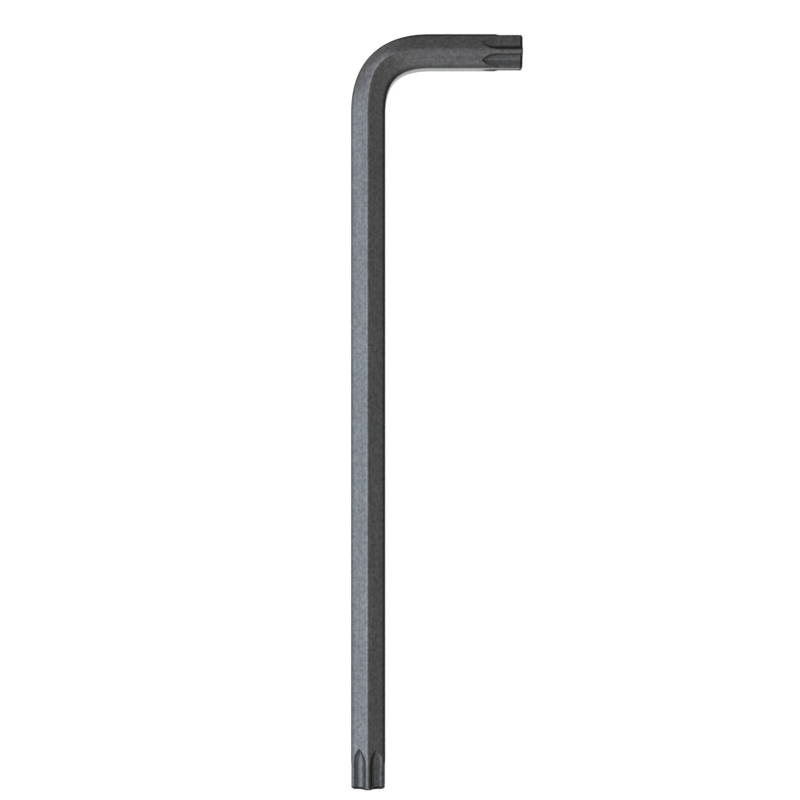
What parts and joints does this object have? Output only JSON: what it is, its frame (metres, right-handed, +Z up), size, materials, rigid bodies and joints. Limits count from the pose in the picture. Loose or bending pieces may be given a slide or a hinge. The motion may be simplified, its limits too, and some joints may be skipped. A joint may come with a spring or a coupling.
{
  "type": "star key",
  "caption": "L-shaped key bent from blackened hexagonal steel bar, with a lobed star milled on each end to turn screws that have a star recess.",
  "frame": {"origin": "middle of the key's plan, on the surface that it lies on", "axes": "+X along the short arm from the bend to its star end, +Y along the long arm from its star end to the bend, +Z up from the surface that the key lies on"},
  "size_m": [0.03, 0.132, 0.0068],
  "materials": {
    "blackened_steel": "satin"
  },
  "bodies": {
    "root": {"long_arm": "blackened_steel", "bend": "blackened_steel", "short_arm": "blackened_steel", "long_arm_star_tip": "blackened_steel", "short_arm_star_tip": "blackened_steel"}
  },
  "joints": []
}
